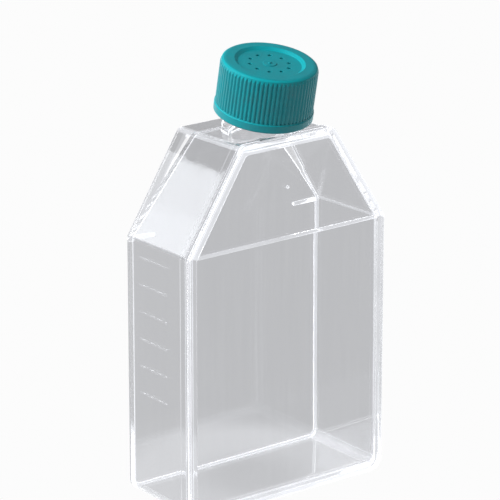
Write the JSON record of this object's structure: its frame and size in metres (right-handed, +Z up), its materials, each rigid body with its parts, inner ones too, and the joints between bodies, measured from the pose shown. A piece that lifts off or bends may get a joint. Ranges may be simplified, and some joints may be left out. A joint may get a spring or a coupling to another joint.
{
  "type": "cell culture flask",
  "caption": "Clear culture flask with a canted neck, a welded top plate and a ribbed screw cap that vents through a filter membrane.",
  "frame": {"origin": "middle of the base on the floor, under the standing flask", "axes": "+Z up towards the neck, +X across the flask, -Y out of the top plate, +Y out of the growth side"},
  "size_m": [0.084, 0.041, 0.1531],
  "materials": {
    "clear_plastic": "clear polished polystyrene",
    "cap_plastic": "satin moulded polyethylene",
    "membrane": "matt porous film"
  },
  "bodies": {
    "flask": {"flask_body": "clear_plastic", "top_plate": "clear_plastic"},
    "lift_carrier": {"filter_membrane": "membrane"},
    "cap": {"vent_cap": "cap_plastic"}
  },
  "joints": [
    {"name": "cap_lift", "type": "slide", "parent": "flask", "child": "lift_carrier", "axis": [0, -0.1582, 0.9874], "range_m": [0, 0.005]},
    {"name": "cap_turn", "type": "hinge", "parent": "lift_carrier", "child": "cap", "pos_m": [0, -0.00051, 0.12689], "axis": [0, -0.1582, 0.9874], "range_deg": [0, 450]}
  ],
  "couplings": [
    {"joint": "cap_lift", "follows": "cap_turn", "m_per_rad": 0.00063661}
  ]
}
